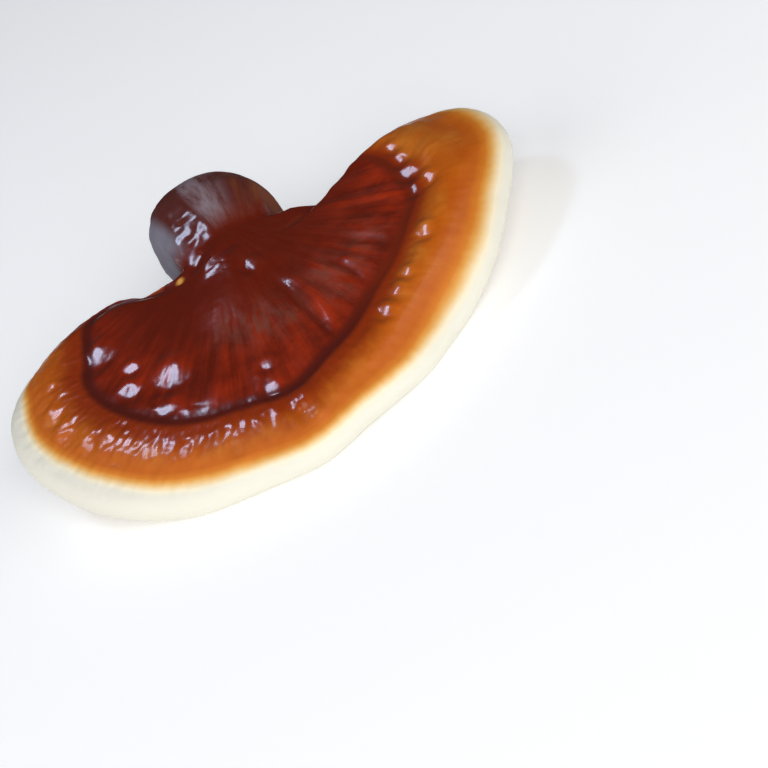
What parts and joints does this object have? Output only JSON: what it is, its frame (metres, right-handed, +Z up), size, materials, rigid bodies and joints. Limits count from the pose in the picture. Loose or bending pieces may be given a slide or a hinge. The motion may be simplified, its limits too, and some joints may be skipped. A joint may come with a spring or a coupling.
{
  "type": "reishi mushroom",
  "caption": "Kidney-shaped lacquered cap with a pale blunt margin and a pore face below, on a short side stem cut off flat where it rests.",
  "frame": {"origin": "middle of the bounding box's underside, on the plane that the margin and the stem's cut stand on", "axes": "+X across the cap's width, -Y towards the front of the margin, +Y towards the stem, +Z up from the pore face"},
  "size_m": [0.1422, 0.107, 0.0378],
  "materials": {
    "cap_lacquer": "glossy natural lacquer: maroon crust, burnt orange band, cream margin",
    "stem_lacquer": "glossy natural lacquer, dark red-brown"
  },
  "bodies": {
    "root": {"cap": "cap_lacquer", "stem": "stem_lacquer"}
  },
  "joints": []
}
